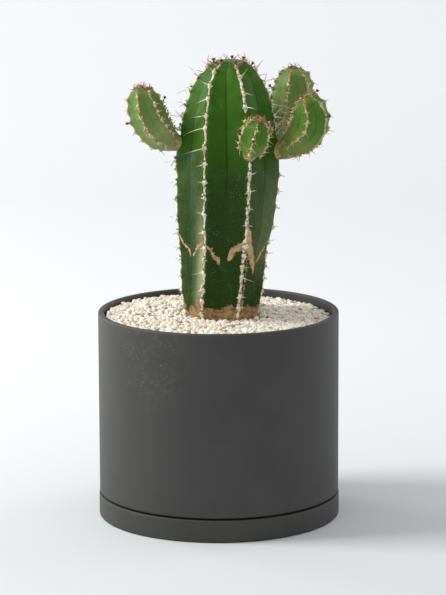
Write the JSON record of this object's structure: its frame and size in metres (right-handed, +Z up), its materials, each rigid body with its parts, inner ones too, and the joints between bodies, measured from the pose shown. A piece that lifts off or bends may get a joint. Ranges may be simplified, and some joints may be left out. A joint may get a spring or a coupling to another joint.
{
  "type": "potted euphorbia",
  "caption": "Ribbed succulent column with small side branches and spiny rib margins, growing in grit in a straight-sided dark ceramic pot on a matching saucer.",
  "frame": {"origin": "middle of the saucer's flat underside, on the surface that it stands on", "axes": "+Z up along the pot and the plant; the front of the plant faces -Y, and the pair of right-hand branches is at +X"},
  "size_m": [0.201, 0.201, 0.3826],
  "materials": {
    "pot_ceramic": "matte charcoal, faintly mottled",
    "saucer_ceramic": "matte charcoal",
    "potting_mix": "crumbly, dark brown, matte",
    "grit": "pale cream grit, matte",
    "stem_skin": "waxy dark green skin, satin",
    "branch_skin": "waxy lighter green skin, satin",
    "stem_spines": "horny, pale ivory, satin",
    "branch_spines": "horny, ivory with reddish tips, satin"
  },
  "bodies": {
    "root": {"saucer": "saucer_ceramic", "pot": "pot_ceramic", "soil": "potting_mix", "gravel": "grit", "main_stem": "stem_skin", "branch_left": "branch_skin", "branch_front": "branch_skin", "branch_right_front": "branch_skin", "branch_right_rear": "branch_skin", "spines_stem_1": "stem_spines", "spines_stem_2_lower": "stem_spines", "spines_stem_2_upper": "stem_spines", "spines_stem_3_lower": "stem_spines", "spines_stem_3_upper": "stem_spines", "spines_stem_4_lower": "stem_spines", "spines_stem_4_upper": "stem_spines", "spines_stem_5": "stem_spines", "spines_stem_6": "stem_spines", "spines_stem_7_lower": "stem_spines", "spines_stem_7_upper": "stem_spines", "spines_branch_left_1": "branch_spines", "spines_branch_left_2": "branch_spines", "spines_branch_left_3": "branch_spines", "spines_branch_left_4": "branch_spines", "spines_branch_left_5": "branch_spines", "spines_branch_left_6": "branch_spines", "spines_branch_front_1": "branch_spines", "spines_branch_front_2": "branch_spines", "spines_branch_front_3": "branch_spines", "spines_branch_front_4": "branch_spines", "spines_branch_front_5": "branch_spines", "spines_branch_front_6": "branch_spines", "spines_branch_right_front_1": "branch_spines", "spines_branch_right_front_2": "branch_spines", "spines_branch_right_front_3": "branch_spines", "spines_branch_right_front_4": "branch_spines", "spines_branch_right_front_5": "branch_spines", "spines_branch_right_front_6": "branch_spines", "spines_branch_right_rear_1": "branch_spines", "spines_branch_right_rear_2": "branch_spines", "spines_branch_right_rear_3": "branch_spines", "spines_branch_right_rear_4": "branch_spines", "spines_branch_right_rear_5": "branch_spines", "spines_branch_right_rear_6": "branch_spines"}
  },
  "joints": []
}
